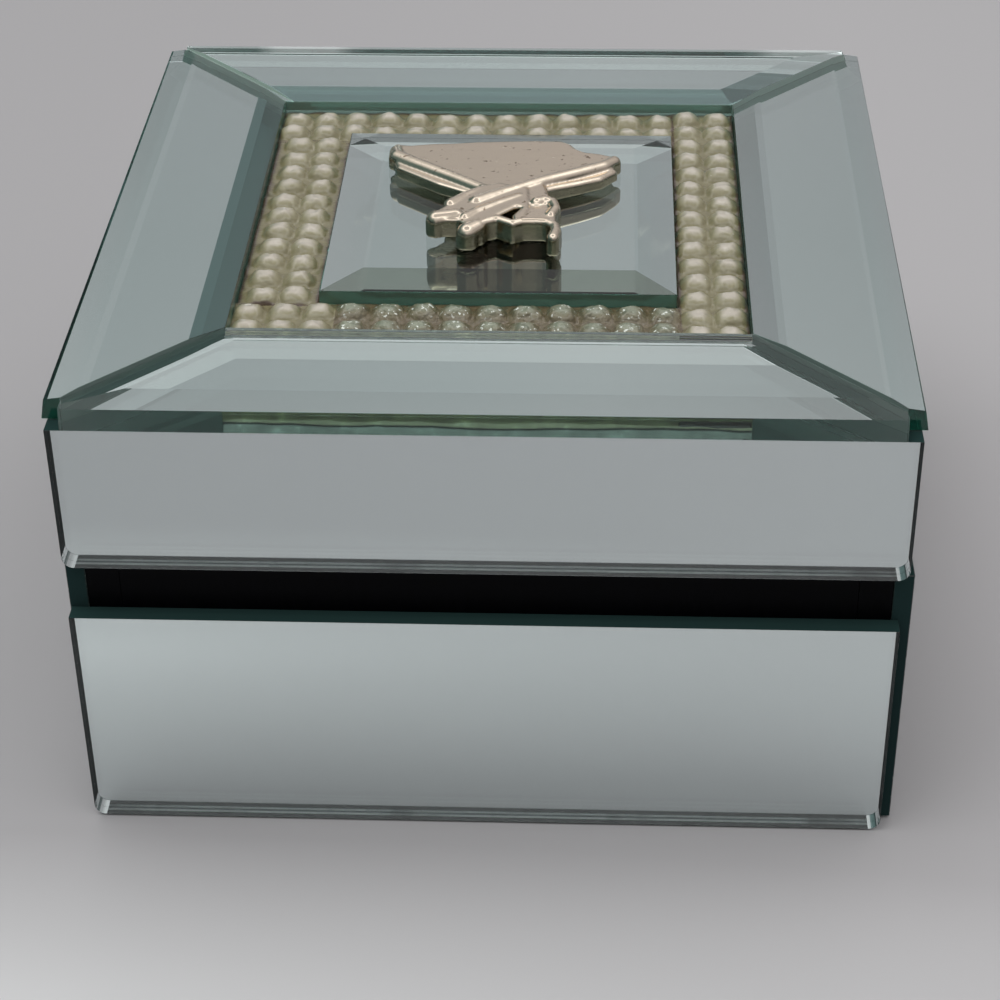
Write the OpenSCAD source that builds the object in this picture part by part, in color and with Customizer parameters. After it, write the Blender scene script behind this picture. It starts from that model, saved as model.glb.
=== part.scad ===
/* [Base box] */
// Side of the square base over its glass
box_w = 128; // [115:1:180]
// Height of the plane where the lid meets the base
rim_z = 48.4; // [35:0.1:90]
// Distance from the rim plane down to the front glass, so that a finger can lift the lid
finger_gap = 8.4; // [6:0.1:12]
// How much narrower than the base its front glass is
front_glass_inset = 2.2; // [0:0.1:4]
// Offset of the front glass from the middle of the base
front_glass_x = -0.8; // [-1:0.1:1]

/* [Lid] */
// How much narrower than the base the lid is over its side glass
lid_inset = 1.2; // [0.4:0.1:3]
// Height of the lid from the rim plane to the face of the top glass
lid_h = 28.9; // [22:0.1:60]
// Sideways offset of the lid on the base
lid_x = -0.45; // [-0.6:0.05:0.6]

/* [Glass] */
// Thickness of the mirror glass on the sides
side_glass_t = 3; // [2:0.5:4]
// Thickness of the mirror glass on the top
top_glass_t = 4; // [3:0.5:6]
// How much wider than the lid the frame of four glasses is at its upper edge
frame_over = 0.5; // [0:0.1:1]
// Width of each frame glass
frame_glass_w = 23.7; // [18:0.1:26]
// Lean of the ground outer edge of the frame glass
edge_lean = 0.6; // [0:0.05:1]
// Offset of the frame towards the back of the lid
frame_y = 0.65; // [-0.6:0.05:0.7]
// Width of the bevels of the frame glasses
bevel_w = 4.8; // [2:0.1:6]
// Depth that the bevels take off the edge
bevel_drop = 0.7; // [0.3:0.1:2]
// Length nipped off the sharp tips of the frame glasses
tip_nip = 2.6; // [0.5:0.1:4]
// Gap left in each mitre of the frame
mitre_gap = 0.1; // [0.1:0.1:0.6]
// Width of the channel between the frame and the tile in the middle
channel_w = 12.15; // [11.5:0.05:16]
// Sideways offset of the tile in the frame
tile_x = 0.95; // [-1:0.05:1]
// Offset of the tile towards the front of the frame
tile_y = 0.65; // [-1:0.05:1]
// Width of the bevel round the tile
tile_bevel_w = 6.4; // [3:0.1:9]
// Radius of the lower corners of the two front glasses
corner_r = 1.8; // [0.5:0.1:4]

/* [Carcass] */
// Thickness of the wall boards
wall_board_t = 5; // [4:0.5:8]
// Thickness of the floor board
floor_board_t = 4; // [3:0.5:8]
// Thickness of the board under the top glass
top_board_t = 3; // [2.5:0.5:6]
// Thickness of the velvet lining
lining_t = 0.8; // [0.5:0.1:1.5]
// Thickness of the felt under the base
felt_t = 1; // [0.6:0.1:2]
// Distance from the base's edge to the felt's edge
felt_inset = 4; // [3:0.5:10]

/* [Beads] */
// Diameter of a half-round bead
bead_d = 4.9; // [3.6:0.1:5]
// Least distance from bead to bead, which spread out evenly over each strip
bead_pitch = 5.2; // [5.2:0.1:6.5]
// Rows of beads across each channel
bead_rows = 2; // [1:1:2]
// Thickness of the bed that carries the beads
bed_t = 0.4; // [0.3:0.1:0.8]

/* [Ornament] */
// Width of the fan of the ornament
fan_w = 39; // [28:1:42]
// Thickness of the fan's plate
fan_t = 2.2; // [1.2:0.1:2.5]
// Height of the top of the ornament over the tile
ornament_h = 4; // [3:0.1:6]

/* [Hinges] */
// Distance of each hinge from the middle of the back
hinge_x = 36; // [25:1:45]
// Length of a hinge along its pin
hinge_len = 20; // [14:1:26]
// Thickness of a hinge leaf
leaf_t = 0.8; // [0.6:0.1:1]
// Depth of the part of the leaf that lies on the board
leaf_seat = 4.4; // [4:0.1:4.8]
// Radius of the hinge knuckle
knuckle_r = 1.7; // [1.6:0.1:2.2]
// Radius of the hinge pin
pin_r = 0.9; // [0.7:0.1:1]
// Radius of a hinge screw's shank
screw_r = 0.8; // [0.6:0.1:0.9]
// Length of a hinge screw
screw_len = 7; // [5:0.5:9]

/* [Hidden] */
$fn = 48;

// Clearances
glue = 0.1;         // glue line behind and under each glass
fit = 0.1;          // gap between neighbouring boards, linings and glass edges
rim_gap = 0.1;      // gap between the rims of the closed box
glass_gap = 0.4;    // gap between the glass of the closed lid and base
foot_gap = 0.4;     // height of the side glass over the table
pin_clear = 0.05;   // running clearance of the lid's knuckle on the pin
screw_clear = 0.02; // clearance of a screw in its hole
knuckle_gap = 0.3;  // gap from the back glass to the knuckle, and between knuckles

// Sizes that follow from the base
base_w = box_w;
base_d = box_w;
front_glass_w = base_w - front_glass_inset;
front_glass_top = rim_z - finger_gap;
lid_w = base_w - lid_inset;
lid_d = base_d - lid_inset;
frame_size = lid_w + frame_over;
opening = frame_size - 2 * frame_glass_w;
tile_size = opening - 2 * channel_w;

// Heights
base_rim = rim_z - rim_gap / 2;
lid_rim = rim_z + rim_gap / 2;
base_glass_top = rim_z - glass_gap / 2;
lid_glass_low = rim_z + glass_gap / 2;
top_face = rim_z + lid_h;
top_glass_low = top_face - top_glass_t;
board_top = top_glass_low - glue;
ceiling = board_top - top_board_t;
floor_top = felt_t + floor_board_t;
lining_low = floor_top + lining_t + fit;

// Places of the lid, the frame on it and the tile in the frame
lid_y = (base_d - lid_d) / 2;
frame_cx = lid_x;
frame_cy = lid_y + frame_y;
tile_cx = frame_cx + tile_x;
tile_cy = frame_cy - tile_y;

// Wall sizes
skin = side_glass_t + glue;
base_in_w = base_w - 2 * skin;
base_in_d = base_d - 2 * skin;
lid_in_w = lid_w - 2 * skin;
lid_in_d = lid_d - 2 * skin;

// Hinge places
pin_y = base_d / 2 + knuckle_gap + knuckle_r;
pin_z = rim_z;
leaf_front = base_d / 2 - skin - leaf_seat;
screw_y = leaf_front + leaf_seat / 2;
screw_dx = hinge_len / 4;
head_r = screw_r * 1.9;
head_h = leaf_t * 0.75;
segment = (hinge_len - 2 * knuckle_gap) / 3;

// Small overshoot that makes a cut clean
cut = 1;

// Box between two corners
module block(low, high) {
    translate(low)
        cube(high - low);
}

// Upright board centred on (x, y), standing on z
module slab(x, y, z, w, d, h) {
    translate([x - w / 2, y - d / 2, z])
        cube([w, d, h]);
}

// Outline of a front glass: a rectangle whose lower corners are round
module glass_outline(w, h, r) {
    translate([-w / 2, r])
        square([w, h - r]);
    translate([-w / 2 + r, 0])
        square([w - 2 * r, h]);
    for (side = [-1, 1])
        translate([side * (w / 2 - r), r])
            circle(r);
}

// Front glass standing upright, its outer face at y
module front_glass(x, y, z, w, h) {
    translate([x, y + side_glass_t, z])
        rotate([90, 0, 0])
            linear_extrude(side_glass_t)
                glass_outline(w, h, corner_r);
}

// Base: boards

module base_floor_board() {
    color("#15161a")
        slab(0, 0, felt_t, base_in_w, base_in_d, floor_board_t);
}

module base_cross_board(side) {
    y = side * (base_in_d - wall_board_t) / 2;
    w = base_in_w - 2 * (wall_board_t + fit);
    slab(0, y, floor_top + fit, w, wall_board_t, base_rim - floor_top - fit);
}

module base_front_board() {
    color("#15161a")
        base_cross_board(-1);
}

module base_back_board() {
    color("#15161a")
        difference() {
            base_cross_board(1);
            for (side = [-1, 1])
                hinge_recess(side, base_rim - leaf_t, base_rim + cut);
            screw_places()
                translate([0, 0, base_rim - leaf_t - screw_len])
                    cylinder(r = screw_r + screw_clear, h = screw_len + cut);
        }
}

module base_side_board(side) {
    x = side * (base_in_w - wall_board_t) / 2;
    slab(x, 0, floor_top + fit, wall_board_t, base_in_d, base_rim - floor_top - fit);
}

module base_left_board() {
    color("#15161a")
        base_side_board(-1);
}

module base_right_board() {
    color("#15161a")
        base_side_board(1);
}

// Base: glass

module base_front_glass() {
    color("#aab6b4")
        front_glass(front_glass_x, -base_d / 2, foot_gap, front_glass_w, front_glass_top - foot_gap);
}

module base_back_glass() {
    h = base_rim - leaf_t - fit - foot_gap;
    color("#aab6b4")
        slab(0, (base_d - side_glass_t) / 2, foot_gap, base_w, side_glass_t, h);
}

module base_side_glass(side) {
    x = side * (base_w - side_glass_t) / 2;
    d = base_d - 2 * (side_glass_t + fit);
    slab(x, 0, foot_gap, side_glass_t, d, base_glass_top - foot_gap);
}

module base_left_glass() {
    color("#9fb0ad")
        base_side_glass(-1);
}

module base_right_glass() {
    color("#9fb0ad")
        base_side_glass(1);
}

module base_felt() {
    color("#101114")
        slab(0, 0, 0, base_w - 2 * felt_inset, base_d - 2 * felt_inset, felt_t);
}

// Base: lining

module floor_lining() {
    color("#0b0b0d")
        slab(0, 0, floor_top, base_well_w, base_well_d, lining_t);
}

// Room between the wall boards of the base
base_well_w = base_in_w - 2 * (wall_board_t + fit);
base_well_d = base_in_d - 2 * (wall_board_t + fit);

module base_cross_lining(side) {
    w = base_well_w - 2 * (lining_t + fit);
    slab(0, side * (base_well_d - lining_t) / 2, lining_low, w, lining_t, base_rim - lining_low);
}

module base_side_lining(side) {
    x = side * (base_well_w - lining_t) / 2;
    slab(x, 0, lining_low, lining_t, base_well_d, base_rim - lining_low);
}

module base_front_lining() {
    color("#0b0b0d")
        base_cross_lining(-1);
}

module base_back_lining() {
    color("#0b0b0d")
        base_cross_lining(1);
}

module base_left_lining() {
    color("#0b0b0d")
        base_side_lining(-1);
}

module base_right_lining() {
    color("#0b0b0d")
        base_side_lining(1);
}

// Hinges: the base leaf carries two knuckles and the lid leaf carries the middle one

module hinge_places(side) {
    translate([side * hinge_x, 0, 0])
        children();
}

// Places of the two screws of each hinge
module screw_places() {
    for (side = [-1, 1], end = [-1, 1])
        translate([side * hinge_x + end * screw_dx, screw_y, 0])
            children();
}

// Recess for a leaf in the edge of a back board
module hinge_recess(side, low, high) {
    hinge_places(side)
        block(
            [-hinge_len / 2 - fit, leaf_front - fit, low],
            [hinge_len / 2 + fit, base_d / 2 + cut, high]
        );
}

module knuckle(x, length, bore) {
    translate([x - length / 2, pin_y, pin_z])
        rotate([0, 90, 0])
            difference() {
                cylinder(r = knuckle_r, h = length);
                translate([0, 0, -cut])
                    cylinder(r = bore, h = length + 2 * cut);
            }
}

// Countersunk holes of a leaf whose open face is at z and whose board is at z - face * leaf_t
module leaf_holes(z, face) {
    for (end = [-1, 1])
        translate([end * screw_dx, screw_y, z])
            mirror([0, 0, face > 0 ? 1 : 0]) {
                translate([0, 0, -cut])
                    cylinder(r = screw_r + screw_clear, h = leaf_t + 2 * cut);
                translate([0, 0, -cut])
                    cylinder(r = head_r + screw_clear, h = cut);
                cylinder(r1 = head_r + screw_clear, r2 = screw_r + screw_clear, h = head_h);
            }
}

module base_leaf(side) {
    top = base_rim;
    color("#b9a06a")
        hinge_places(side)
            difference() {
                union() {
                    block([-hinge_len / 2, leaf_front, top - leaf_t], [hinge_len / 2, base_d / 2, top]);
                    for (end = [-1, 1]) {
                        block(
                            [end * (hinge_len - segment) / 2 - segment / 2, base_d / 2 - cut, top - leaf_t],
                            [end * (hinge_len - segment) / 2 + segment / 2, pin_y, top]
                        );
                        knuckle(end * (hinge_len - segment) / 2, segment, pin_r / 2);
                    }
                }
                leaf_holes(top, 1);
                translate([-hinge_len, pin_y, pin_z])
                    rotate([0, 90, 0])
                        cylinder(r = pin_r, h = 2 * hinge_len);
            }
}

module left_hinge_base_leaf() {
    base_leaf(-1);
}

module right_hinge_base_leaf() {
    base_leaf(1);
}

module lid_leaf(side) {
    low = lid_rim;
    color("#b9a06a")
        hinge_places(side)
            difference() {
                union() {
                    block([-hinge_len / 2, leaf_front, low], [hinge_len / 2, base_d / 2, low + leaf_t]);
                    block([-segment / 2, base_d / 2 - cut, low], [segment / 2, pin_y, low + leaf_t]);
                    knuckle(0, segment, pin_r / 2);
                }
                leaf_holes(low, -1);
                translate([-hinge_len, pin_y, pin_z])
                    rotate([0, 90, 0])
                        cylinder(r = pin_r + pin_clear, h = 2 * hinge_len);
            }
}

module left_hinge_lid_leaf() {
    lid_leaf(-1);
}

module right_hinge_lid_leaf() {
    lid_leaf(1);
}

module hinge_pin(side) {
    color("#a48b58")
        hinge_places(side)
            translate([-hinge_len / 2, pin_y, pin_z])
                rotate([0, 90, 0])
                    cylinder(r = pin_r, h = hinge_len);
}

module left_hinge_pin() {
    hinge_pin(-1);
}

module right_hinge_pin() {
    hinge_pin(1);
}

// Countersunk screw that points down from the origin, with a cross slot in its head
module screw() {
    slot_w = head_r * 0.3;
    slot_l = head_r * 1.3;
    slot_d = head_h * 0.5;
    difference() {
        union() {
            translate([0, 0, -head_h])
                cylinder(r1 = screw_r, r2 = head_r, h = head_h);
            translate([0, 0, -screw_len])
                cylinder(r = screw_r, h = screw_len - head_h);
        }
        for (turn = [0, 90])
            rotate(turn)
                translate([-slot_l / 2, -slot_w / 2, -slot_d])
                    cube([slot_l, slot_w, slot_d + cut]);
    }
}

module base_hinge_screws() {
    color("#c9b07a")
        screw_places()
            translate([0, 0, base_rim])
                screw();
}

module lid_hinge_screws() {
    color("#c9b07a")
        screw_places()
            translate([0, 0, lid_rim])
                mirror([0, 0, 1])
                    screw();
}

// Lid: boards

module lid_top_board() {
    color("#15161a")
        slab(lid_x, lid_y, ceiling, lid_in_w, lid_in_d, top_board_t);
}

module lid_cross_board(side) {
    y = lid_y + side * (lid_in_d - wall_board_t) / 2;
    w = lid_in_w - 2 * (wall_board_t + fit);
    slab(lid_x, y, lid_rim, w, wall_board_t, ceiling - fit - lid_rim);
}

module lid_front_board() {
    color("#15161a")
        lid_cross_board(-1);
}

module lid_back_board() {
    color("#15161a")
        difference() {
            lid_cross_board(1);
            for (side = [-1, 1])
                hinge_recess(side, lid_rim - cut, lid_rim + leaf_t);
            screw_places()
                translate([0, 0, lid_rim - cut])
                    cylinder(r = screw_r + screw_clear, h = leaf_t + screw_len + cut);
        }
}

module lid_side_board(side) {
    x = lid_x + side * (lid_in_w - wall_board_t) / 2;
    slab(x, lid_y, lid_rim, wall_board_t, lid_in_d, ceiling - fit - lid_rim);
}

module lid_left_board() {
    color("#15161a")
        lid_side_board(-1);
}

module lid_right_board() {
    color("#15161a")
        lid_side_board(1);
}

// Lid: side glass

lid_glass_h = board_top - lid_glass_low;

module lid_front_glass() {
    color("#a4b0ae")
        front_glass(lid_x, lid_y - lid_d / 2, lid_glass_low, lid_w, lid_glass_h);
}

module lid_back_glass() {
    low = lid_rim + leaf_t + fit;
    color("#a4b0ae")
        slab(lid_x, lid_y + (lid_d - side_glass_t) / 2, low, lid_w, side_glass_t, board_top - low);
}

module lid_side_glass(side) {
    x = lid_x + side * (lid_w - side_glass_t) / 2;
    d = lid_d - 2 * (side_glass_t + fit);
    slab(x, lid_y, lid_glass_low, side_glass_t, d, lid_glass_h);
}

module lid_left_glass() {
    color("#9fb0ad")
        lid_side_glass(-1);
}

module lid_right_glass() {
    color("#9fb0ad")
        lid_side_glass(1);
}

// Lid: lining

lid_well_w = lid_in_w - 2 * (wall_board_t + fit);
lid_well_d = lid_in_d - 2 * (wall_board_t + fit);
lid_lining_h = ceiling - lining_t - fit - lid_rim;

module lid_top_lining() {
    color("#0b0b0d")
        slab(lid_x, lid_y, ceiling - lining_t, lid_well_w, lid_well_d, lining_t);
}

module lid_cross_lining(side) {
    y = lid_y + side * (lid_well_d - lining_t) / 2;
    slab(lid_x, y, lid_rim, lid_well_w - 2 * (lining_t + fit), lining_t, lid_lining_h);
}

module lid_side_lining(side) {
    x = lid_x + side * (lid_well_w - lining_t) / 2;
    slab(x, lid_y, lid_rim, lining_t, lid_well_d, lid_lining_h);
}

module lid_front_lining() {
    color("#0b0b0d")
        lid_cross_lining(-1);
}

module lid_back_lining() {
    color("#0b0b0d")
        lid_cross_lining(1);
}

module lid_left_lining() {
    color("#0b0b0d")
        lid_side_lining(-1);
}

module lid_right_lining() {
    color("#0b0b0d")
        lid_side_lining(1);
}

// Lid: frame glass. Each glass is a bevelled strip with mitred ends and nipped tips. The front and the
// back one are bevelled along their mitres too, and the side ones stand square-edged against them.
// It is drawn as the front one, with its outer edge at y = 0 and its lower face at z = 0.

frame_half = frame_size / 2;

// Cross-section of the strip from its outer edge to its inner edge
function strip_section() = [
    [-edge_lean, 0],
    [frame_glass_w, 0],
    [frame_glass_w, top_glass_t - bevel_drop],
    [frame_glass_w - bevel_w, top_glass_t],
    [bevel_w, top_glass_t],
    [0, top_glass_t - bevel_drop]
];

// Bevel cut along a line on the X axis: the glass lies on the side of +Y
module bevel_cut(length, width) {
    translate([-length / 2, 0, top_glass_t])
        rotate([90, 0, 90])
            linear_extrude(length)
                polygon([[-cut, -bevel_drop * (1 + cut / width)], [width, 0], [width, cut], [-cut, cut]]);
}

module frame_strip(mitre_bevels) {
    reach = frame_half + edge_lean;
    side_gap = mitre_gap / 2 * sqrt(2);
    inner = frame_half - frame_glass_w - side_gap;
    outer = reach - side_gap;
    nip = frame_half - tip_nip;
    difference() {
        intersection() {
            translate([-reach, 0, 0])
                rotate([90, 0, 90])
                    linear_extrude(2 * reach)
                        polygon(strip_section());
            translate([0, 0, -cut])
                linear_extrude(top_glass_t + 2 * cut)
                    polygon([
                        [-inner, frame_glass_w], [-outer, -edge_lean], [outer, -edge_lean], [inner, frame_glass_w]
                    ]);
            slab(0, 0, -cut, 2 * nip, 2 * frame_size, top_glass_t + 2 * cut);
        }
        if (mitre_bevels)
            for (side = [-1, 1])
                translate([side * (frame_half - side_gap), 0, 0])
                    rotate(side * 135 - 90)
                        mirror([side > 0 ? 1 : 0, 0, 0])
                            rotate(90)
                                bevel_cut(3 * frame_glass_w, bevel_w);
    }
}

module frame_glass(turn, mitre_bevels) {
    color("#93a3a0")
        translate([frame_cx, frame_cy, top_glass_low])
            rotate(turn)
                translate([0, -frame_half, 0])
                    frame_strip(mitre_bevels);
}

module front_frame_glass() {
    frame_glass(0, true);
}

module right_frame_glass() {
    frame_glass(90, false);
}

module back_frame_glass() {
    frame_glass(180, true);
}

module left_frame_glass() {
    frame_glass(270, false);
}

// Lid: square tile with a bevel all round, its lower face in line with the frame's

module centre_tile() {
    half = tile_size / 2;
    color("#9aa6a6")
        translate([tile_cx, tile_cy, top_glass_low])
            difference() {
                slab(0, 0, 0, tile_size, tile_size, top_glass_t);
                for (turn = [0 : 90 : 270])
                    rotate(turn)
                        translate([0, -half, 0])
                            bevel_cut(2 * tile_size, tile_bevel_w);
            }
}

// Lid: beads. The right strip runs the full depth of the frame's opening. The front and the back
// strip run from the opening's left edge to the right strip, and the left strip lies between them.

open_low_x = frame_cx - opening / 2;
open_high_x = frame_cx + opening / 2;
open_low_y = frame_cy - opening / 2;
open_high_y = frame_cy + opening / 2;
tile_low_x = tile_cx - tile_size / 2;
tile_high_x = tile_cx + tile_size / 2;
tile_low_y = tile_cy - tile_size / 2;
tile_high_y = tile_cy + tile_size / 2;
strip_w = (bead_rows - 1) * bead_pitch + bead_d;
left_strip_x = (open_low_x + tile_low_x) / 2;
right_strip_x = (open_high_x + tile_high_x) / 2;
front_strip_y = (open_low_y + tile_low_y) / 2;
back_strip_y = (open_high_y + tile_high_y) / 2;
cross_low_x = open_low_x + fit;
cross_high_x = right_strip_x - strip_w / 2 - fit;
left_low_y = front_strip_y + strip_w / 2 + fit;
left_high_y = back_strip_y - strip_w / 2 - fit;

module bead() {
    difference() {
        sphere(d = bead_d);
        translate([0, 0, -bead_d])
            cube(2 * bead_d, center = true);
    }
}

// As many beads as a strip of this length takes
function bead_count(length) = floor((length - bead_d) / bead_pitch) + 1;

// Grid of beads between two corners
module bead_grid(low_x, low_y, high_x, high_y, columns, rows) {
    step_x = columns > 1 ? (high_x - low_x - bead_d) / (columns - 1) : 0;
    step_y = rows > 1 ? (high_y - low_y - bead_d) / (rows - 1) : 0;
    color("#d8d2c0")
        for (i = [0 : columns - 1], j = [0 : rows - 1])
            translate([low_x + bead_d / 2 + i * step_x, low_y + bead_d / 2 + j * step_y, board_top + bed_t])
                bead();
}

module side_beads(x, low_y, high_y) {
    bead_grid(x - strip_w / 2, low_y, x + strip_w / 2, high_y, bead_rows, bead_count(high_y - low_y));
}

module cross_beads(y) {
    count = bead_count(cross_high_x - cross_low_x);
    bead_grid(cross_low_x, y - strip_w / 2, cross_high_x, y + strip_w / 2, count, bead_rows);
}

module left_beads() {
    side_beads(left_strip_x, left_low_y, left_high_y);
}

module right_beads() {
    side_beads(right_strip_x, open_low_y + fit, open_high_y - fit);
}

module front_beads() {
    cross_beads(front_strip_y);
}

module back_beads() {
    cross_beads(back_strip_y);
}

// Beds: thin strips that fill the channel between the frame glass and the tile

module bed(low_x, low_y, high_x, high_y) {
    color("#a59c72")
        block([low_x + fit, low_y + fit, board_top], [high_x - fit, high_y - fit, board_top + bed_t]);
}

module left_bead_bed() {
    bed(open_low_x, open_low_y, tile_low_x, open_high_y);
}

module right_bead_bed() {
    bed(tile_high_x, open_low_y, open_high_x, open_high_y);
}

module front_bead_bed() {
    bed(tile_low_x, open_low_y, tile_high_x, tile_low_y);
}

module back_bead_bed() {
    bed(tile_low_x, tile_high_y, tile_high_x, open_high_y);
}

// Ornament: a cast fan with rolled rims and in front of it a bow of ribbons that ends in round lobes.
// Its points are shares of the fan's width, measured from the middle of the tile.

fan_points = [
    [-0.06, 0.00], [-0.28, 0.09], [-0.47, 0.24], [-0.50, 0.34], [-0.49, 0.48], [-0.24, 0.48],
    [-0.02, 0.50], [0.23, 0.51], [0.27, 0.48], [0.33, 0.41], [0.45, 0.37], [0.48, 0.29],
    [0.40, 0.16], [0.20, 0.06], [0.10, -0.02]
];
bow_points = [
    [-0.10, 0.02], [-0.22, -0.12], [-0.30, -0.25], [-0.30, -0.31], [-0.18, -0.30], [-0.16, -0.38],
    [-0.09, -0.40], [-0.03, -0.31], [0.05, -0.35], [0.10, -0.33], [0.20, -0.33], [0.23, -0.24],
    [0.23, -0.12], [0.17, -0.05], [0.15, 0.05]
];
lobes = [[-0.28, -0.27], [-0.20, -0.25], [-0.12, -0.36], [0.21, -0.36], [0.21, -0.41]];
rim_r = 0.034;   // radius of the rolled rims
lobe_r = 0.045;  // radius of the lobes

module rolled_rim(from, to) {
    hull()
        for (end = [from, to])
            translate([end[0] * fan_w, end[1] * fan_w, fan_t - rim_r * fan_w / 2])
                sphere(rim_r * fan_w, $fn = 16);
}

module ornament() {
    color("#b8a898")
        translate([tile_cx, tile_cy, top_face + fit]) {
            linear_extrude(fan_t)
                polygon(fan_points * fan_w);
            linear_extrude(ornament_h - 0.7)
                polygon(bow_points * fan_w);
            rolled_rim([-0.47, 0.33], [-0.07, 0.01]);
            rolled_rim([0.46, 0.28], [-0.02, -0.01]);
            for (place = lobes)
                translate(place * fan_w)
                    cylinder(r = lobe_r * fan_w, h = ornament_h);
        }
}

base_floor_board();
base_front_board();
base_back_board();
base_left_board();
base_right_board();
base_front_glass();
base_back_glass();
base_left_glass();
base_right_glass();
base_felt();
floor_lining();
base_front_lining();
base_back_lining();
base_left_lining();
base_right_lining();
left_hinge_base_leaf();
right_hinge_base_leaf();
left_hinge_pin();
right_hinge_pin();
base_hinge_screws();
lid_top_board();
lid_front_board();
lid_back_board();
lid_left_board();
lid_right_board();
lid_front_glass();
lid_back_glass();
lid_left_glass();
lid_right_glass();
lid_top_lining();
lid_front_lining();
lid_back_lining();
lid_left_lining();
lid_right_lining();
left_hinge_lid_leaf();
right_hinge_lid_leaf();
lid_hinge_screws();
front_frame_glass();
back_frame_glass();
left_frame_glass();
right_frame_glass();
front_bead_bed();
back_bead_bed();
left_bead_bed();
right_bead_bed();
front_beads();
back_beads();
left_beads();
right_beads();
centre_tile();
ornament();
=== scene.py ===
"""Square mirrored glass casket: the finished looks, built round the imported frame."""

import math
import random

import bmesh
import bpy
from mathutils import Matrix, Vector, noise


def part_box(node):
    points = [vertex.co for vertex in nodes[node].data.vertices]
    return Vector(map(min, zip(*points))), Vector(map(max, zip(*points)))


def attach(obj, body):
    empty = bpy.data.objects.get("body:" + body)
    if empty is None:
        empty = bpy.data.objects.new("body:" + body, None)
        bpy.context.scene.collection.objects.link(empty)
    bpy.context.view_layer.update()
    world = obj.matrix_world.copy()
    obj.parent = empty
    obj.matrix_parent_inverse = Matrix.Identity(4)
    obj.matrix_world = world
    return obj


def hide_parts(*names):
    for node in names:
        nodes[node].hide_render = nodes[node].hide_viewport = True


MM = 0.001

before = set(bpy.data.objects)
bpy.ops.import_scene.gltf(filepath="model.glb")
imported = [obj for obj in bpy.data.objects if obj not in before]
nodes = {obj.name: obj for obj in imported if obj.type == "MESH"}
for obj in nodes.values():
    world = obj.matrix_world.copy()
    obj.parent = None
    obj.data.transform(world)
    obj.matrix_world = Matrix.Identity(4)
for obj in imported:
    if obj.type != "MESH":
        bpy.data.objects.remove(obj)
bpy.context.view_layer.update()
scene = bpy.context.scene


# Node helpers


def start_material(name):
    """A new node material and its Principled shader."""
    made = bpy.data.materials.new(name)
    made.use_nodes = True
    return made, made.node_tree.nodes["Principled BSDF"]


def add_node(tree, kind, **settings):
    """A node of this kind; each setting is one of its inputs or else a property."""
    made = tree.nodes.new(kind)
    for key, value in settings.items():
        if key in made.inputs:
            made.inputs[key].default_value = value
        else:
            setattr(made, key, value)
    return made


def object_noise(tree, scale, detail=3.0, stretch=(1, 1, 1)):
    """Noise in the object's own metres; returns its value socket."""
    place = add_node(tree, "ShaderNodeTexCoord")
    turn = add_node(tree, "ShaderNodeMapping", Scale=stretch)
    grain = add_node(tree, "ShaderNodeTexNoise", Scale=scale, Detail=detail)
    tree.links.new(place.outputs["Object"], turn.inputs["Vector"])
    tree.links.new(turn.outputs["Vector"], grain.inputs["Vector"])
    return grain.outputs["Fac"]


def ramp(tree, value, *stops):
    """Colour ramp over value; each stop is (position, colour)."""
    made = add_node(tree, "ShaderNodeValToRGB")
    band = made.color_ramp
    while len(band.elements) < len(stops):
        band.elements.new(0.5)
    for element, (position, colour) in zip(band.elements, stops):
        element.position = position
        element.color = (*colour, 1)
    tree.links.new(value, made.inputs["Fac"])
    return made.outputs["Color"]


def spread(tree, value, low, high):
    """value from 0 to 1 spread from low to high."""
    made = add_node(tree, "ShaderNodeMapRange")
    made.inputs["To Min"].default_value = low
    made.inputs["To Max"].default_value = high
    tree.links.new(value, made.inputs["Value"])
    return made.outputs["Result"]


def mix(tree, factor, first, second, blend="MIX"):
    """Colour mix of first and second. The factor and second may be sockets or plain values."""
    made = add_node(tree, "ShaderNodeMix", data_type="RGBA", blend_type=blend)
    for socket, value in ((made.inputs[0], factor), (made.inputs[6], first), (made.inputs[7], second)):
        if isinstance(value, bpy.types.NodeSocket):
            tree.links.new(value, socket)
        else:
            socket.default_value = value
    return made.outputs[2]


def total(tree, first, second, operation="ADD"):
    """Sum of two value sockets, or another sum that operation names."""
    made = add_node(tree, "ShaderNodeMath", operation=operation)
    tree.links.new(first, made.inputs[0])
    tree.links.new(second, made.inputs[1])
    return made.outputs["Value"]


def grey(level):
    return (level, level, level)


def bump(tree, shader, value, strength, distance):
    made = add_node(tree, "ShaderNodeBump", Strength=strength, Distance=distance)
    tree.links.new(value, made.inputs["Height"])
    tree.links.new(made.outputs["Normal"], shader.inputs["Normal"])


# Finishes

# How a face of glass is stained by adhesive, or painted: TILE_BEVEL with painted shade, RESIN_EDGE with a
# painted view of the beads, RIM_BELOW with a painted highlight. The glue_and_bevel_shade ramp and the masks in
# float_glass() read these numbers.
TILE_BEVEL = 0.1
BACK_EDGE = 0.36
SIDE_EDGE = 0.43
TILE_FRONT_EDGE = 0.44
TILE_BACK_EDGE = 0.3
RESIN_EDGE = 0.58
RIM_BELOW = 0.72
RIM_ABOVE = 0.79
RIM_UPRIGHT = 0.8
SIDE_FRONT_MITRE = 0.87
FRONT_MITRE = 0.9
BACK_MITRE = 1

# Heights of the resin view painted on the front frame glass's inner edge
RESIN_LOW = 0.0733
RESIN_HIGH = 0.0766


def only(tree, stain, number):
    """1 on faces whose stain is this number, 0 on the others."""
    return ramp(
        tree,
        stain.outputs["Fac"],
        (number - 0.04, grey(0)),
        (number - 0.02, grey(1)),
        (number + 0.02, grey(1)),
        (number + 0.04, grey(0)),
    )


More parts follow.
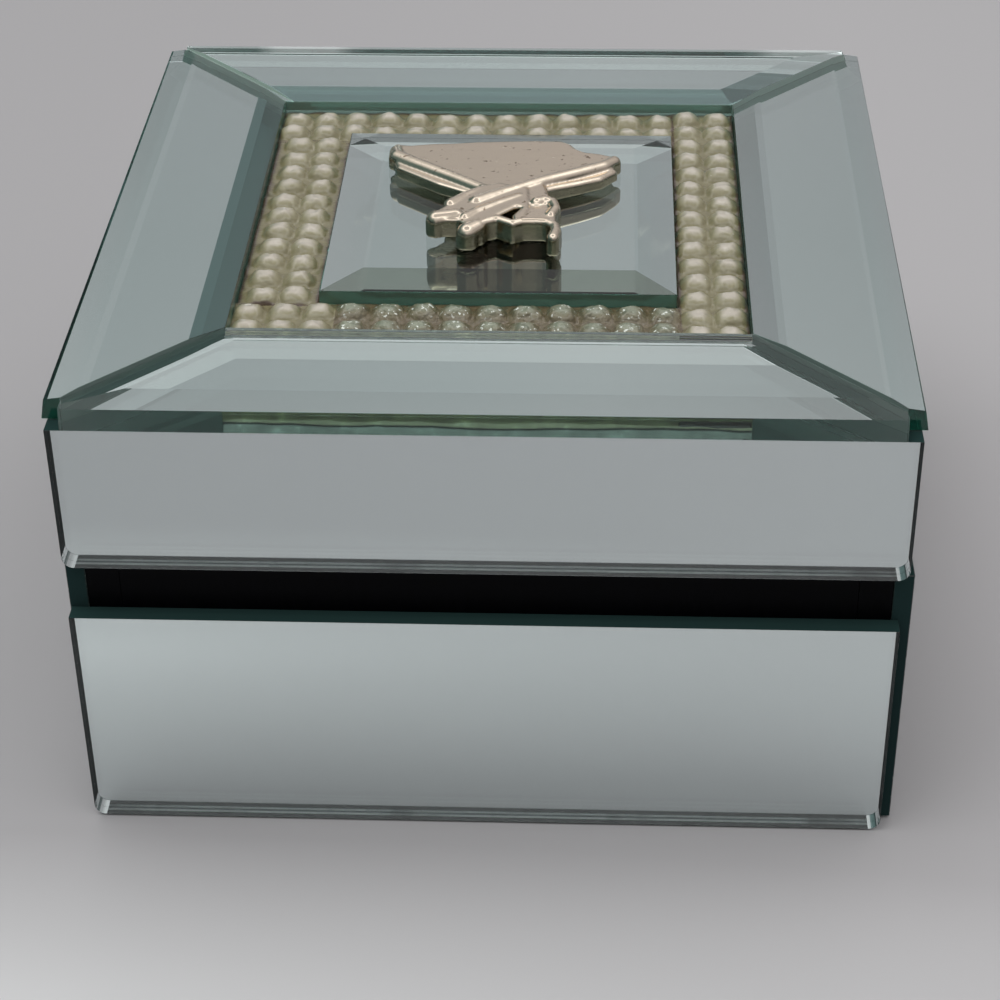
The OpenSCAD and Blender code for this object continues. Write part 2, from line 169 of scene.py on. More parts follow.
def float_glass():
    """Clear glass with a green body. Each face says how far it is ground, how far adhesive stains it, and
    where shade or highlights are painted on it.
    """
    made, shader = start_material("float_glass")
    tree = made.node_tree
    shader.inputs["IOR"].default_value = 1.52
    ground = add_node(tree, "ShaderNodeAttribute", attribute_name="ground")
    tree.links.new(spread(tree, ground.outputs["Fac"], 0, 0.22), shader.inputs["Roughness"])
    stain = add_node(tree, "ShaderNodeAttribute", attribute_name="stain")
    # Colour by stain: adhesive on the edges and mitres; at TILE_BEVEL a darker olive tint, painted shade on
    # the tile's front bevel.
    glue_and_bevel_shade = ramp(
        tree,
        stain.outputs["Fac"],
        (0, (1, 1, 1)),
        (0.1, (0.34, 0.39, 0.31)),
        (0.14, (0.75, 0.79, 0.76)),
        (0.5, (0.07, 0.20, 0.125)),
        (0.8, (0.02, 0.042, 0.042)),
        (0.9, (0.30, 0.38, 0.35)),
        (1, (0.60, 0.72, 0.66)),
    )
    # RESIN_EDGE: a painted view of the resin and beads behind the rim, olive with painted sparkles, over a
    # dark wavy stripe and a paler band
    place = add_node(tree, "ShaderNodeTexCoord")
    parts = add_node(tree, "ShaderNodeSeparateXYZ")
    tree.links.new(place.outputs["Object"], parts.inputs["Vector"])
    level = add_node(tree, "ShaderNodeMapRange")
    level.inputs["From Min"].default_value = RESIN_LOW
    level.inputs["From Max"].default_value = RESIN_HIGH
    tree.links.new(parts.outputs["Z"], level.inputs["Value"])
    wavy = total(tree, level.outputs["Result"], spread(tree, object_noise(tree, 70, 2), -0.3, 0.3))
    resin = ramp(
        tree,
        wavy,
        (0.42, (0.95, 0.88, 0.48)),
        (0.50, (0.03, 0.04, 0.03)),
        (0.56, (0.03, 0.04, 0.03)),
        (0.62, (0.68, 0.74, 0.62)),
    )
    painted_sparkles = ramp(tree, object_noise(tree, 420, 4), (0.3, grey(0.5)), (0.6, grey(1)), (0.72, grey(2)))
    resin_view_sparkled = mix(tree, 1, resin, painted_sparkles, "MULTIPLY")
    seen = mix(tree, only(tree, stain, RESIN_EDGE), glue_and_bevel_shade, resin_view_sparkled)
    # RIM_BELOW: a rim underneath, painted dark with a bright broken stripe across it, a painted highlight
    depth = add_node(tree, "ShaderNodeAttribute", attribute_name="depth")
    painted_rim_highlight = ramp(
        tree,
        depth.outputs["Fac"],
        (0.06, (0.30, 0.31, 0.31)),
        (0.12, (0.03, 0.033, 0.033)),
        (0.56, (0.04, 0.043, 0.043)),
        (0.62, (1, 1, 1)),
        (0.84, (1, 1, 1)),
        (0.90, (0.25, 0.26, 0.27)),
    )
    highlight_breaks = ramp(tree, object_noise(tree, 90, 4, (1, 0.1, 0.1)), (0.34, (0.5, 0.5, 0.51)), (0.48, grey(1)))
    broken = mix(tree, 1, painted_rim_highlight, highlight_breaks, "MULTIPLY")
    rim = mix(tree, only(tree, stain, RIM_BELOW), seen, broken)
    tree.links.new(rim, shader.inputs["Base Color"])
    let_through = ramp(tree, stain.outputs["Fac"], (0.12, grey(1)), (0.5, grey(0.45)), (0.8, grey(0)))
    tree.links.new(let_through, shader.inputs["Transmission Weight"])
    # Stained faces don't mirror the light inside the glass
    mirror = add_node(tree, "ShaderNodeMapRange")
    mirror.inputs["From Max"].default_value = 0.7
    mirror.inputs["To Min"].default_value = 0.5
    mirror.inputs["To Max"].default_value = 0
    tree.links.new(stain.outputs["Fac"], mirror.inputs["Value"])
    tree.links.new(mirror.outputs["Result"], shader.inputs["Specular IOR Level"])
    body = add_node(tree, "ShaderNodeVolumeAbsorption", Color=(0, 0.68, 0.55, 1), Density=22)
    tree.links.new(body.outputs["Volume"], tree.nodes["Material Output"].inputs["Volume"])
    return made


def silvering():
    """The mirror coat on the back of a sheet."""
    made, shader = start_material("silvering")
    shader.inputs["Base Color"].default_value = (0.82, 0.815, 0.83, 1)
    shader.inputs["Metallic"].default_value = 1
    shader.inputs["Roughness"].default_value = 0
    return made


def ground_arris():
    """The seamed edge of cut glass: dark and matt, with small bright chips."""
    made, shader = start_material("ground_arris")
    tree = made.node_tree
    chips = object_noise(tree, 1400, 4)
    tone = ramp(
        tree,
        chips,
        (0.40, (0.02, 0.03, 0.03)),
        (0.60, (0.05, 0.07, 0.066)),
        (0.74, (0.4, 0.45, 0.44)),
    )
    # The arrises underneath are painted with bright stripes, a painted highlight of the floor's light
    painted_streak_highlights = ramp(tree, object_noise(tree, 120, 3, (1, 8, 8)), (0.36, (0.25, 0.26, 0.27)), (0.5, grey(1)))
    place = add_node(tree, "ShaderNodeTexCoord")
    facing = add_node(tree, "ShaderNodeSeparateXYZ")
    tree.links.new(place.outputs["Normal"], facing.inputs["Vector"])
    under = add_node(tree, "ShaderNodeMath", operation="LESS_THAN")
    under.inputs[1].default_value = -0.5
    tree.links.new(facing.outputs["Z"], under.inputs[0])
    tree.links.new(mix(tree, under.outputs["Value"], tone, painted_streak_highlights), shader.inputs["Base Color"])
    shader.inputs["Roughness"].default_value = 0.35
    bump(tree, shader, chips, 0.6, 0.0001)
    return made


def black_paint():
    """Thin matt paint on the boards, with the fibre of the board showing."""
    made, shader = start_material("black_paint")
    tree = made.node_tree
    fibre = object_noise(tree, 900, 5, (1, 1, 0.35))
    black = ramp(tree, fibre, (0.3, (0.0005, 0.0005, 0.001)), (0.8, (0.002, 0.002, 0.003)))
    tree.links.new(black, shader.inputs["Base Color"])
    tree.links.new(spread(tree, fibre, 0.38, 0.62), shader.inputs["Roughness"])
    shader.inputs["Specular IOR Level"].default_value = 0.06
    bump(tree, shader, fibre, 0.25, 0.0001)
    return made


def pile(name, dark, light, sheen):
    """Short woven pile, for the velvet inside and the felt underneath."""
    made, shader = start_material(name)
    tree = made.node_tree
    nap = object_noise(tree, 90, 4)
    hairs = object_noise(tree, 3200, 2)
    tree.links.new(ramp(tree, nap, (0.35, dark), (0.7, light)), shader.inputs["Base Color"])
    shader.inputs["Roughness"].default_value = 0.9
    shader.inputs["Specular IOR Level"].default_value = 0.15
    shader.inputs["Sheen Weight"].default_value = sheen
    shader.inputs["Sheen Roughness"].default_value = 0.35
    bump(tree, shader, hairs, 0.5, 0.0002)
    return made


def bead_body(name, rim, middle, core, sparkle_level, gloss, dents):
    """Moulded bead: olive resin at its rim, milky in its core, under a clear coat.

    The mesh says where the core is, and sets it to 0 along the channel's edges for a painted shadow there.
    gloss is the roughness of the coat.
    """
    made, shader = start_material(name)
    tree = made.node_tree
    depth = add_node(tree, "ShaderNodeAttribute", attribute_name="core")
    cloud = spread(tree, object_noise(tree, 480, 3), -0.14, 0.14)
    shifted = total(tree, depth.outputs["Fac"], cloud)
    # At core 0, along the channel's edges, the dark brown is a painted shadow.
    body = ramp(tree, shifted, (0.05, (0.085, 0.05, 0.03)), (0.2, rim), (0.5, middle), (0.78, core))
    # Pale spots in the core are painted sparkles, a painted highlight.
    sparkle_spots = ramp(tree, object_noise(tree, 1500, 2), (sparkle_level, grey(0)), (sparkle_level + 0.06, grey(1)))
    inner = ramp(tree, depth.outputs["Fac"], (0.3, grey(0)), (0.5, grey(1)))
    glints = total(tree, sparkle_spots, inner, "MULTIPLY")
    tree.links.new(mix(tree, glints, body, (0.88, 0.92, 0.84, 1)), shader.inputs["Base Color"])
    shader.inputs["Roughness"].default_value = 0.3
    shader.inputs["Coat Weight"].default_value = 1
    shader.inputs["Coat Roughness"].default_value = gloss
    bump(tree, shader, object_noise(tree, 620, 2), dents, 0.0012 * dents)
    return made


def bead_bed():
    """Set adhesive under the beads."""
    made, shader = start_material("set_adhesive")
    tree = made.node_tree
    smear = object_noise(tree, 420, 4)
    brown = ramp(
        tree,
        smear,
        (0.38, (0.09, 0.055, 0.03)),
        (0.5, (0.19, 0.155, 0.08)),
        (0.66, (0.32, 0.29, 0.17)),
    )
    tree.links.new(brown, shader.inputs["Base Color"])
    shader.inputs["Roughness"].default_value = 0.3
    bump(tree, shader, smear, 0.6, 0.0003)
    return made


def metal(name, colour, roughness, grain_scale, grain_strength, stretch=(1, 1, 1)):
    """Metal with a fine grain in its gloss."""
    made, shader = start_material(name)
    tree = made.node_tree
    grain = object_noise(tree, grain_scale, 4, stretch)
    darker = tuple(c * 0.86 for c in colour)
    tree.links.new(ramp(tree, grain, (0.3, darker), (0.7, colour)), shader.inputs["Base Color"])
    shader.inputs["Metallic"].default_value = 1
    tree.links.new(spread(tree, grain, roughness * 0.7, roughness * 1.3), shader.inputs["Roughness"])
    bump(tree, shader, grain, grain_strength, 0.0001)
    return made


def cast_metal():
    """Pale rose-gold plated metal, painted bright on top and darker down the walls as painted light and shade,
    with fine scratches and small pits.
    """
    made, shader = start_material("ornament_metal")
    tree = made.node_tree
    shader.inputs["Metallic"].default_value = 1
    facing = add_node(tree, "ShaderNodeNewGeometry")
    split = add_node(tree, "ShaderNodeSeparateXYZ")
    tree.links.new(facing.outputs["Normal"], split.inputs["Vector"])
    # Colour by facing: lighter on top and darker down the walls, painted light and shade.
    plating_and_wall_shade = ramp(tree, split.outputs["Z"], (0.1, (0.36, 0.31, 0.22)), (0.55, (0.84, 0.72, 0.585)))
    pits = ramp(tree, object_noise(tree, 900, 3), (0.27, (0.45, 0.4, 0.36)), (0.34, grey(1)))
    tree.links.new(mix(tree, 1, plating_and_wall_shade, pits, "MULTIPLY"), shader.inputs["Base Color"])
    scratches = object_noise(tree, 700, 5, (0.35, 1, 1))
    tree.links.new(spread(tree, scratches, 0.08, 0.36), shader.inputs["Roughness"])
    bump(tree, shader, scratches, 0.35, 0.0001)
    return made


GLASS = float_glass()
SILVER = silvering()
ARRIS = ground_arris()
PAINT = black_paint()
VELVET = pile("black_velvet", (0.004, 0.004, 0.005), (0.016, 0.016, 0.018), 0.35)
FELT = pile("black_felt", (0.010, 0.010, 0.011), (0.030, 0.030, 0.033), 0.2)
PEARL = bead_body(
    "pearl_bead", (0.20, 0.175, 0.085), (0.33, 0.30, 0.185), (0.56, 0.505, 0.425),
    sparkle_level=0.75, gloss=0.05, dents=0.5,
)
CLEAR = bead_body(
    "clear_bead", (0.15, 0.115, 0.06), (0.20, 0.18, 0.11), (0.27, 0.29, 0.21),
    sparkle_level=0.61, gloss=0.02, dents=1,
)
BED = bead_bed()
BRASS = metal("hinge_brass", (0.78, 0.62, 0.36), 0.26, 700, 0.15, (0.1, 1, 1))
STEEL = metal("pin_steel", (0.56, 0.55, 0.53), 0.3, 900, 0.1, (0.1, 1, 1))
CAST = cast_metal()


def paint(name, *materials):
    """The CAD node takes these materials in this order."""
    mesh = nodes[name].data
    mesh.materials.clear()
    for material in materials:
        mesh.materials.append(material)


# Glass: the back of each sheet is silvered, its rim is ground and its arrises are seamed


def finish_glass(name, back, arris, arris_slot, rims):
    """arris is the width of the seamed corners in mm, with the slot of their finish.

    rims gives (direction, ground, stain) of the faces round the sheet.
    """
    piece = nodes[name]
    paint(name, GLASS, SILVER, ARRIS)
    mesh = piece.data
    ground = mesh.attributes.new("ground", "FLOAT", "FACE")
    stain = mesh.attributes.new("stain", "FLOAT", "FACE")
    depth = mesh.attributes.new("depth", "FLOAT", "POINT")
    reach = [vertex.co.dot(Vector(back)) for vertex in mesh.vertices]
    for vertex, far in zip(mesh.vertices, reach):
        depth.data[vertex.index].value = (far - min(reach)) / (max(reach) - min(reach))
    for face in mesh.polygons:
        face.material_index = 1 if face.normal.dot(Vector(back)) > 0.9 else 0
        for direction, roughness, colour in rims:
            if face.normal.dot(Vector(direction).normalized()) > 0.999:
                ground.data[face.index].value = roughness
                stain.data[face.index].value = colour
    # The faces are flat; the CAD's own normals would bend across the seamed arrises
    mesh.attributes.remove(mesh.attributes["custom_normal"])
    mesh.shade_flat()
    weld = piece.modifiers.new("weld", "WELD")
    weld.merge_threshold = 1e-6
    seam = piece.modifiers.new("arris", "BEVEL")
    seam.width = arris * MM
    seam.segments = 1
    seam.limit_method = "ANGLE"
    seam.angle_limit = math.radians(40)
    seam.material = arris_slot


# The way from each side of the box to its middle
inward = {"front": (0, 1), "back": (0, -1), "left": (1, 0), "right": (-1, 0)}
GROUND = 0.5
SMOOTHED = 0.3
SIDE_ARRIS = 0.13
TOP_ARRIS = 0.05

for part in ("base", "lid"):
    for side, (x, y) in inward.items():
        across = (0, 1, 0) if x else (1, 0, 0)
        away = tuple(-c for c in across)
        # The rim underneath takes RIM_BELOW, painted with a highlight stripe.
        rims = [
            (across, GROUND, RIM_UPRIGHT),
            (away, GROUND, RIM_UPRIGHT),
            ((0, 0, 1), GROUND, RIM_ABOVE),
            ((0, 0, -1), GROUND, RIM_BELOW),
        ]
        finish_glass(part + "_" + side + "_glass", (x, y, 0), SIDE_ARRIS, 2, rims)

# Glue stains the frame's mitres and the edges that face the beads; the mitres at the front are the darker ones
for side, (x, y) in inward.items():
    # The front frame glass's inner edge takes RESIN_EDGE, a painted view of the beads with painted sparkles.
    rims = [((x, y, 0), 0 if x else SMOOTHED, {"back": BACK_EDGE, "front": RESIN_EDGE}.get(side, SIDE_EDGE))]
    for end in ((x + y, y + x, 0), (x - y, y - x, 0)):
        dark = end[1] < 0 if x else end[1] > 0
        rims.append((end, 0, (SIDE_FRONT_MITRE if x else FRONT_MITRE) if dark else BACK_MITRE))
    finish_glass(side + "_frame_glass", (0, 0, -1), TOP_ARRIS, 0, rims)
# The front bevel of the tile takes TILE_BEVEL, a darker olive tint that is painted shade.
finish_glass("centre_tile", (0, 0, -1), TOP_ARRIS, 0, [
    ((0, -1, 0), SMOOTHED, TILE_FRONT_EDGE),
    ((0, 1, 0), SMOOTHED, TILE_BACK_EDGE),
    ((0, -0.7, 6.4), 0, TILE_BEVEL),
])

for name in nodes:
    if name.endswith("_board"):
        paint(name, PAINT)
    elif name.endswith("_lining"):
        paint(name, VELVET)
    elif name.endswith(("_leaf", "_screws")):
        paint(name, BRASS)
    elif name.endswith("_pin"):
        paint(name, STEEL)
    elif name.endswith("_bed"):
        paint(name, BED)
paint("base_felt", FELT)


# Beads: two lines of half-round pearls on each side, in the resin that has risen between them

BEAD_D = 4.9 * MM
CELL = 0.34 * MM


def bead_row(name, columns, rows, clear=()):
    """One strip of beads as a height field over its bed; the columns in clear are clear beads."""
    low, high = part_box(name)
    bed_low, bed_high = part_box(name[:-1] + "_bed")
    chance = random.Random(name)
    step_x = (high.x - low.x - BEAD_D) / (columns - 1)
    step_y = (high.y - low.y - BEAD_D) / (rows - 1)
    pearls = {}
    for i in range(columns):
        for j in range(rows):
            x = low.x + BEAD_D / 2 + i * step_x + chance.uniform(-0.22, 0.22) * MM
            y = low.y + BEAD_D / 2 + j * step_y + chance.uniform(-0.18, 0.18) * MM
            wide, deep = chance.uniform(2.55, 2.85) * MM, chance.uniform(2.4, 2.65) * MM
            pearls[i, j] = x, y, wide, deep, chance.uniform(2.1, 2.4) * MM
    # The resin reaches the glass on both sides of its channel and the next row at its ends
    if columns < rows:
        left, right = bed_low.x + 0.05 * MM, bed_high.x - 0.05 * MM
        front, back = low.y - (step_y - BEAD_D) / 2, high.y + (step_y - BEAD_D) / 2
    else:
        left, right = low.x - (step_x - BEAD_D) / 2, high.x + (step_x - BEAD_D) / 2
        front, back = bed_low.y + 0.05 * MM, bed_high.y - 0.05 * MM
    across, along = round((right - left) / CELL), round((back - front) / CELL)
    shape = bmesh.new()
    core = shape.verts.layers.float.new("core")
    foot = bmesh.ops.create_grid(shape, x_segments=across, y_segments=along, size=0.5)["verts"]
    bmesh.ops.scale(shape, verts=foot, vec=(right - left, back - front, 1))
    bmesh.ops.translate(shape, verts=foot, vec=((left + right) / 2, (front + back) / 2, bed_high.z))
    under = shape.faces[:]
    lifted = bmesh.ops.extrude_face_region(shape, geom=under)["geom"]
    for vertex in [item for item in lifted if isinstance(item, bmesh.types.BMVert)]:
        x, y, z = vertex.co
        i = min(max(round((x - low.x - BEAD_D / 2) / step_x), 0), columns - 1)
        j = min(max(round((y - low.y - BEAD_D / 2) / step_y), 0), rows - 1)
        lump = noise.noise(vertex.co / (1.2 * MM))
        resin = (0.8 + 0.35 * noise.noise(vertex.co / (3.1 * MM))) * MM
        top, share = resin, 0
        for cell in ((i, j), (i - 1, j), (i + 1, j), (i, j - 1), (i, j + 1)):
            if cell not in pearls:
                continue
            middle_x, middle_y, wide, deep, tall = pearls[cell]
            away = (abs((x - middle_x) / wide) ** 3 + abs((y - middle_y) / deep) ** 3) ** (1 / 3)
            dome = tall * max(1 - away ** 2.2, 0) ** 0.5 + 0.28 * MM * lump
            blend = max(0.35 * MM - abs(dome - top), 0) / (0.35 * MM)
            top = max(dome, top) + blend ** 2 * 0.09 * MM
            share = max(share, 1 - away)
        vertex.co.z = z + top
        # Towards the channel's edges the core value falls to 0, where the bead material paints a dark brown
        # shadow (painted shade); the front strip has none.
        edge = min(x - left, right - x, y - front, back - y) if name != "front_beads" else MM
        vertex[core] = (0.2 + 0.8 * share) * min(max(edge - 0.25 * MM, 0) / (0.5 * MM), 1)
    flat = [face for face in shape.faces if face.calc_center_median().z < bed_high.z + 1e-7]
    bmesh.ops.dissolve_faces(shape, faces=flat)
    for face in shape.faces:
        middle = face.calc_center_median()
        i = round((middle.x - low.x - BEAD_D / 2) / step_x)
        face.material_index = 1 if i in clear else 0
        face.smooth = True
    bmesh.ops.recalc_face_normals(shape, faces=shape.faces)
    mesh = bpy.data.meshes.new(name + "_pearls")
    shape.to_mesh(mesh)
    shape.free()
    piece = bpy.data.objects.new(name + "_pearls", mesh)
    scene.collection.objects.link(piece)
    mesh.materials.append(PEARL)
    mesh.materials.append(CLEAR)
    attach(piece, "lid")
    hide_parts(name)


bead_row("left_beads", 2, 11)
bead_row("right_beads", 2, 15)
bead_row("front_beads", 13, 2, range(3, 13))
bead_row("back_beads", 13, 2)


# Ornament: a cast fan with rolled rims, and in front of it a bow of ribbons that ends in round lobes.
# Its points are in millimetres from the middle of the tile's face.

tile_low, tile_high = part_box("centre_tile")
TILE_MIDDLE = (tile_low + tile_high) / 2
TILE_MIDDLE.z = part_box("ornament")[0].z


def plate(shape, outline, top, round_off):
    """Flat plate from the tile up to top, its upper edge rounded."""
    foot = shape.faces.new([shape.verts.new((x, y, 0)) for x, y in outline])
    bmesh.ops.recalc_face_normals(shape, faces=[foot])
    lifted = bmesh.ops.extrude_face_region(shape, geom=[foot])["geom"]
    risen = [item for item in lifted if isinstance(item, bmesh.types.BMVert)]
    bmesh.ops.translate(shape, verts=risen, vec=(0, 0, top))
    edge = [item for item in lifted if isinstance(item, bmesh.types.BMEdge)]
    bmesh.ops.bevel(
        shape, geom=edge, offset=round_off, segments=3, profile=0.5,
        affect="EDGES", material=-1, clamp_overlap=True,
    )


def ridge(shape, path, thick, top):
    """Rounded wall along a path; thick and top change evenly from its first point to its last."""
    count = len(path) - 1
    for index, (x, y) in enumerate(path):
        share = index / count
        r = thick[0] + (thick[1] - thick[0]) * share
        z = top[0] + (top[1] - top[0]) * share - r
        knob = bmesh.ops.create_uvsphere(shape, u_segments=16, v_segments=8, radius=r)["verts"]
        post = bmesh.ops.create_cone(shape, cap_ends=True, segments=16, radius1=r, radius2=r, depth=z)["verts"]
        bmesh.ops.translate(shape, verts=knob, vec=(x, y, z))
        bmesh.ops.translate(shape, verts=post, vec=(x, y, z / 2))
        if index:
            span = Vector((x, y, z)) - last
            turn = span.to_track_quat("Z", "X").to_matrix()
            bar = bmesh.ops.create_cone(
                shape, cap_ends=True, segments=16, radius1=last_r, radius2=r, depth=span.length
            )["verts"]
            bmesh.ops.rotate(shape, verts=bar, matrix=turn)
            bmesh.ops.translate(shape, verts=bar, vec=last + span / 2)
            wall = bmesh.ops.create_cube(shape, size=1)["verts"]
            flat = math.hypot(span.x, span.y)
            low = min(z, last.z)
            bmesh.ops.scale(shape, verts=wall, vec=(flat, 1.9 * min(r, last_r), low))
            bmesh.ops.rotate(shape, verts=wall, matrix=Matrix.Rotation(math.atan2(span.y, span.x), 3, "Z"))
            bmesh.ops.translate(shape, verts=wall, vec=((x + last.x) / 2, (y + last.y) / 2, low / 2))
        last, last_r = Vector((x, y, z)), r


FAN = [
    (-2.0, 0.4), (-4.6, -0.4), (-11.3, 3.6), (-18.4, 9.4), (-19.4, 13.0), (-19.0, 18.2), (-16.6, 17.9),
    (-13.0, 18.6), (-9.2, 18.9), (-5.0, 19.5), (-0.7, 19.8), (4.4, 20.1), (9.0, 20.0), (10.6, 18.8),
    (11.6, 17.0), (13.0, 15.9), (15.6, 15.3), (17.6, 14.4), (18.6, 11.4), (15.6, 6.4), (8.2, 2.6), (3.6, -1.0),
]
BOW_LEFT = [
    (-1.0, 2.0), (-4.6, 0.2), (-8.2, -4.9), (-11.6, -9.4), (-11.4, -11.6), (-7.0, -11.4), (-6.0, -12.6),
    (-4.8, -14.6), (-3.6, -14.0), (-1.0, -11.6), (-0.6, -9.6), (2.2, -6.6), (3.0, -6.9), (1.6, -9.6),
    (1.9, -12.6), (3.4, -12.0), (4.4, -7.0), (4.0, 0.0),
]
BOW_RIGHT = [
    (3.0, 1.6), (3.4, -4.0), (3.4, -12.0), (7.6, -12.0), (8.8, -11.4), (8.6, -8.0), (8.9, -5.0),
    (7.6, -2.6), (6.4, 2.2),
]

cast = bmesh.new()
plate(cast, FAN, 2.0, 0.5)
plate(cast, BOW_LEFT, 3.3, 0.5)
plate(cast, BOW_RIGHT, 3.0, 0.5)
# Rolled rims of the fan, the right one running on over the crossing as a ribbon
ridge(cast, [(-18.6, 13.2), (-15.4, 10.5), (-9.0, 5.6), (-2.2, 0.2)], (1.5, 1.1), (3.2, 3.1))
ridge(cast, [(-18.6, 13.2), (-19.0, 15.6), (-18.8, 17.2)], (1.5, 0.8), (3.2, 2.3))
ridge(
    cast,
    [(17.9, 12.0), (16.2, 9.8), (11.6, 6.8), (6.9, 3.9), (-0.4, -1.4), (-4.4, -4.6)],
    (1.2, 1.3), (3.0, 3.9),
)
ridge(cast, [(17.6, 9.2), (15.4, 6.4), (12.0, 4.4), (8.0, 2.4), (5.0, 0.4)], (0.9, 0.8), (2.0, 2.6))
ridge(cast, [(-3.2, 0.6), (-6.6, -2.8), (-8.6, -5.6)], (1.0, 1.1), (3.3, 3.8))
ridge(cast, [(2.6, -2.6), (-1.2, -5.6), (-4.4, -8.4), (-6.0, -10.4)], (0.7, 0.8), (3.5, 3.8))
# Lobes and the wavy front rim
ridge(cast, [(-10.6, -10.2), (-7.4, -9.4)], (1.7, 1.5), (4.0, 4.0))
ridge(cast, [(-5.4, -14.2), (-3.9, -12.9)], (1.8, 1.5), (4.0, 4.0))
ridge(
    cast,
    [
        (-3.8, -13.0), (-2.4, -11.9), (-0.8, -11.0), (0.6, -11.9),
        (1.8, -12.6), (3.2, -11.8), (5.2, -11.7), (7.2, -11.9),
    ],
    (0.85, 0.85), (3.9, 3.9),
)
ridge(cast, [(7.2, -11.9), (8.5, -13.0), (8.7, -14.6), (8.3, -16.4)], (0.85, 1.1), (3.9, 3.7))
ridge(cast, [(5.4, -4.8), (6.6, -4.0), (8.0, -4.6), (8.5, -6.6), (7.8, -8.6)], (1.1, 0.9), (3.9, 3.5))
bmesh.ops.scale(cast, verts=cast.verts, vec=(MM, MM, MM))
bmesh.ops.translate(cast, verts=cast.verts, vec=TILE_MIDDLE)
cast_mesh = bpy.data.meshes.new("cast_ornament")
cast.to_mesh(cast_mesh)
cast.free()
casting = bpy.data.objects.new("cast_ornament", cast_mesh)
scene.collection.objects.link(casting)
cast_mesh.materials.append(CAST)
melt = casting.modifiers.new("melt", "REMESH")
melt.mode = "VOXEL"
melt.voxel_size = 0.22 * MM
melt.use_smooth_shade = True
soften = casting.modifiers.new("soften", "SMOOTH")
soften.factor = 0.5
soften.iterations = 3
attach(casting, "lid")
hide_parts("ornament")


# Camera: fitted to points on the edges of the box


def look(pitch, yaw, roll):
    """Rotation of a camera that looks down by pitch, right by yaw and leans by roll."""
    p, y, r = (math.radians(a) for a in (pitch, yaw, roll))
    ahead = Vector((math.sin(y) * math.cos(p), math.cos(y) * math.cos(p), -math.sin(p)))
    right = Vector((math.cos(y), -math.sin(y), 0))
    down = ahead.cross(right)
    right, down = right * math.cos(r) + down * math.sin(r), down * math.cos(r) - right * math.sin(r)
    return Matrix((right, -down, -ahead)).transposed()


CAMERA_PLACE = (0.01627, -0.35233, 0.26159)
CAMERA_TURN = look(34.5275, -2.7802, 0.7349)

lens = bpy.data.cameras.new("camera")
lens.lens = 86.63
lens.sensor_width = 36
lens.clip_start = 0.01
camera = bpy.data.objects.new("camera", lens)
camera.matrix_world = Matrix.Translation(CAMERA_PLACE) @ CAMERA_TURN.to_4x4()
scene.collection.objects.link(camera)
scene.camera = camera


# Floor and light


def floor_cloth():
    """Pale cloth, a little lighter just in front of the box, where the mirrors throw light back on it."""
    made, shader = start_material("floor_cloth")
    tree = made.node_tree
    place = add_node(tree, "ShaderNodeTexCoord")
    pool = add_node(tree, "ShaderNodeTexGradient", gradient_type="SPHERICAL")
    centre = add_node(tree, "ShaderNodeMapping", Location=(0.3, 2.89, 0), Scale=(4, 27.8, 1))
    tree.links.new(place.outputs["Object"], centre.inputs["Vector"])
    tree.links.new(centre.outputs["Vector"], pool.inputs["Vector"])
    parts = add_node(tree, "ShaderNodeSeparateXYZ")
    tree.links.new(place.outputs["Object"], parts.inputs["Vector"])
    # The cloth is painted darker towards the left and lighter towards the right, painted shade, with a soft
    # random mottle.
    sideways = add_node(tree, "ShaderNodeMapRange")
    sideways.inputs["From Min"].default_value = -0.12
    sideways.inputs["From Max"].default_value = 0.10
    tree.links.new(parts.outputs["X"], sideways.inputs["Value"])
    drift = spread(tree, object_noise(tree, 3, 2, (0.4, 1.5, 1)), -0.25, 0.25)
    side_shade_and_mottle = total(tree, sideways.outputs["Result"], drift)
    far = ramp(tree, side_shade_and_mottle, (0.1, (0.448, 0.435, 0.445)), (0.9, (0.501, 0.486, 0.496)))
    tree.links.new(mix(tree, pool.outputs["Fac"], far, (0.69, 0.684, 0.69, 1)), shader.inputs["Base Color"])
    shader.inputs["Roughness"].default_value = 0.8
    shader.inputs["Specular IOR Level"].default_value = 0.1
    return made


plane = bmesh.new()
bmesh.ops.create_grid(plane, x_segments=1, y_segments=1, size=3)
floor_mesh = bpy.data.meshes.new("floor")
plane.to_mesh(floor_mesh)
plane.free()
floor = bpy.data.objects.new("floor", floor_mesh)
floor_mesh.materials.append(floor_cloth())
scene.collection.objects.link(floor)

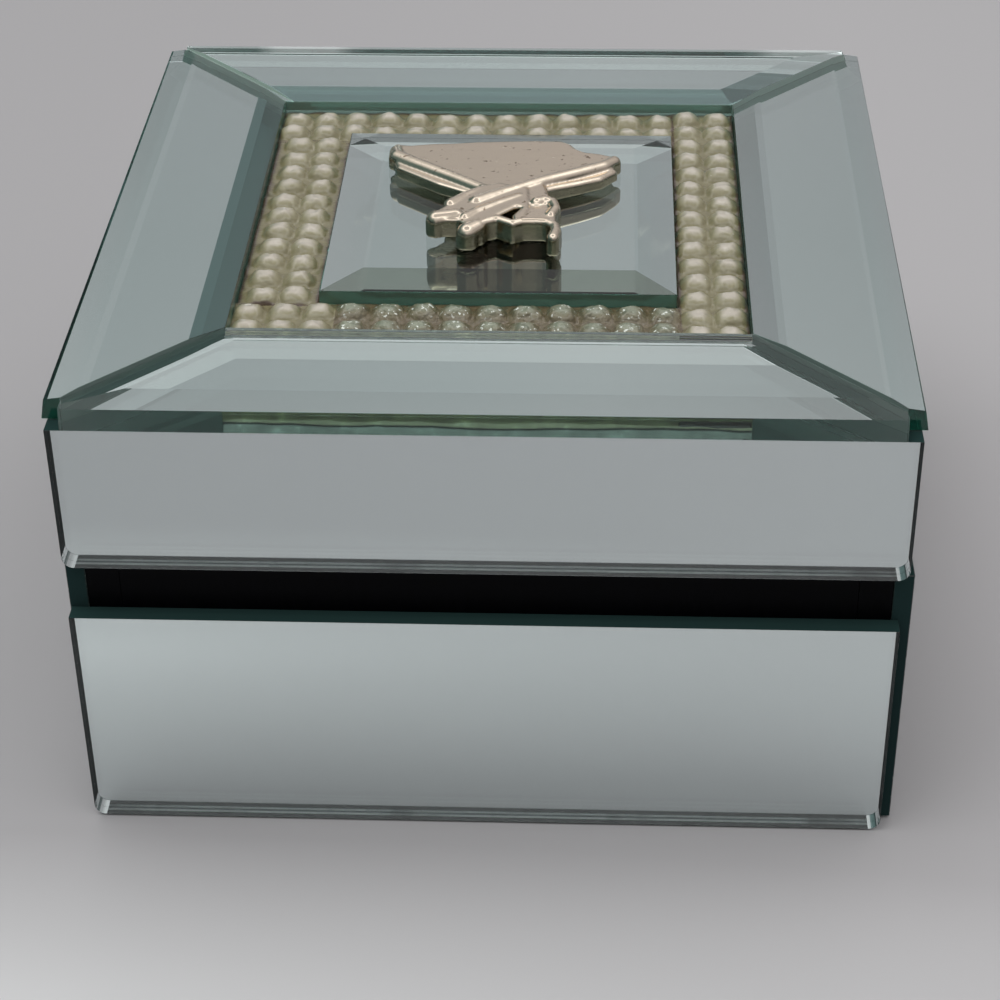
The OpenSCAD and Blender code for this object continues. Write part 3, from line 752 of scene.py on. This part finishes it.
# The room by height: dark below the walls, a bright ring overhead that the beads and the mirrors throw down
world = bpy.data.worlds.new("studio")
world.use_nodes = True
scene.world = world
sky = world.node_tree
around = add_node(sky, "ShaderNodeTexCoord")
split = add_node(sky, "ShaderNodeSeparateXYZ")
sky.links.new(around.outputs["Generated"], split.inputs["Vector"])
height = split.outputs["Z"]
glow = ramp(
    sky,
    height,
    (0.0, (0.10, 0.12, 0.12)),
    (0.20, (0.12, 0.14, 0.14)),
    (0.26, (0.43, 0.42, 0.42)),
    (0.41, (0.46, 0.445, 0.455)),
    (0.47, (0.455, 0.45, 0.455)),
    (0.53, (0.485, 0.48, 0.485)),
    (0.62, (0.60, 0.59, 0.59)),
    (0.82, grey(0.85)),
    (0.85, grey(1.8)),
    (0.90, grey(1.8)),
    (0.925, grey(0.5)),
)
across = add_node(sky, "ShaderNodeMapRange")
across.inputs["From Min"].default_value = -1
sky.links.new(split.outputs["X"], across.inputs["Value"])
dark_side = ramp(
    sky,
    across.outputs["Result"],
    (0.38, (0.22, 0.35, 0.335)),
    (0.394, (0.87, 0.9, 0.9)),
    (0.43, (0.9, 0.92, 0.92)),
    (0.47, (0.95, 0.97, 0.97)),
    (0.50, grey(1)),
    (0.63, grey(0.8)),
)
overhead = ramp(sky, height, (0.55, grey(0)), (0.8, grey(1)))
walls = mix(sky, 1, glow, dark_side, "MULTIPLY")
room = mix(sky, overhead, walls, glow)
# Behind the box, low over the floor, a faint band with two bright strips
low_band = ramp(sky, height, (0.03, grey(0)), (0.05, grey(1)), (0.11, grey(1)), (0.14, grey(0)))
FAINT = grey(0.3)
STRIP = grey(2.2)
behind = ramp(
    sky,
    across.outputs["Result"],
    (0.43, FAINT),
    (0.434, STRIP),
    (0.446, STRIP),
    (0.45, FAINT),
    (0.53, FAINT),
    (0.534, STRIP),
    (0.546, STRIP),
    (0.55, FAINT),
)
rear = ramp(sky, split.outputs["Y"], (0.5, grey(0)), (0.6, grey(1)))
strips = mix(sky, rear, low_band, behind, "MULTIPLY")
sky.links.new(mix(sky, rear, room, strips, "ADD"), sky.nodes["Background"].inputs["Color"])


def softbox(name, place, target, size, power):
    """Square lamp that lights the matt surfaces and is not seen in the glass."""
    lamp = bpy.data.lights.new(name, "AREA")
    lamp.shape = "SQUARE"
    lamp.size = size
    lamp.energy = power
    piece = bpy.data.objects.new(name, lamp)
    toward = Vector(target) - Vector(place)
    piece.matrix_world = Matrix.Translation(place) @ toward.to_track_quat("-Z", "Y").to_matrix().to_4x4()
    piece.visible_glossy = False
    piece.visible_transmission = False
    scene.collection.objects.link(piece)


softbox("overhead", (-0.25, -0.1, 1.1), (0, 0, 0.05), 0.7, 4)

scene.view_settings.view_transform = "Standard"
scene.cycles.max_bounces = 24
scene.cycles.glossy_bounces = 20
scene.cycles.transmission_bounces = 24
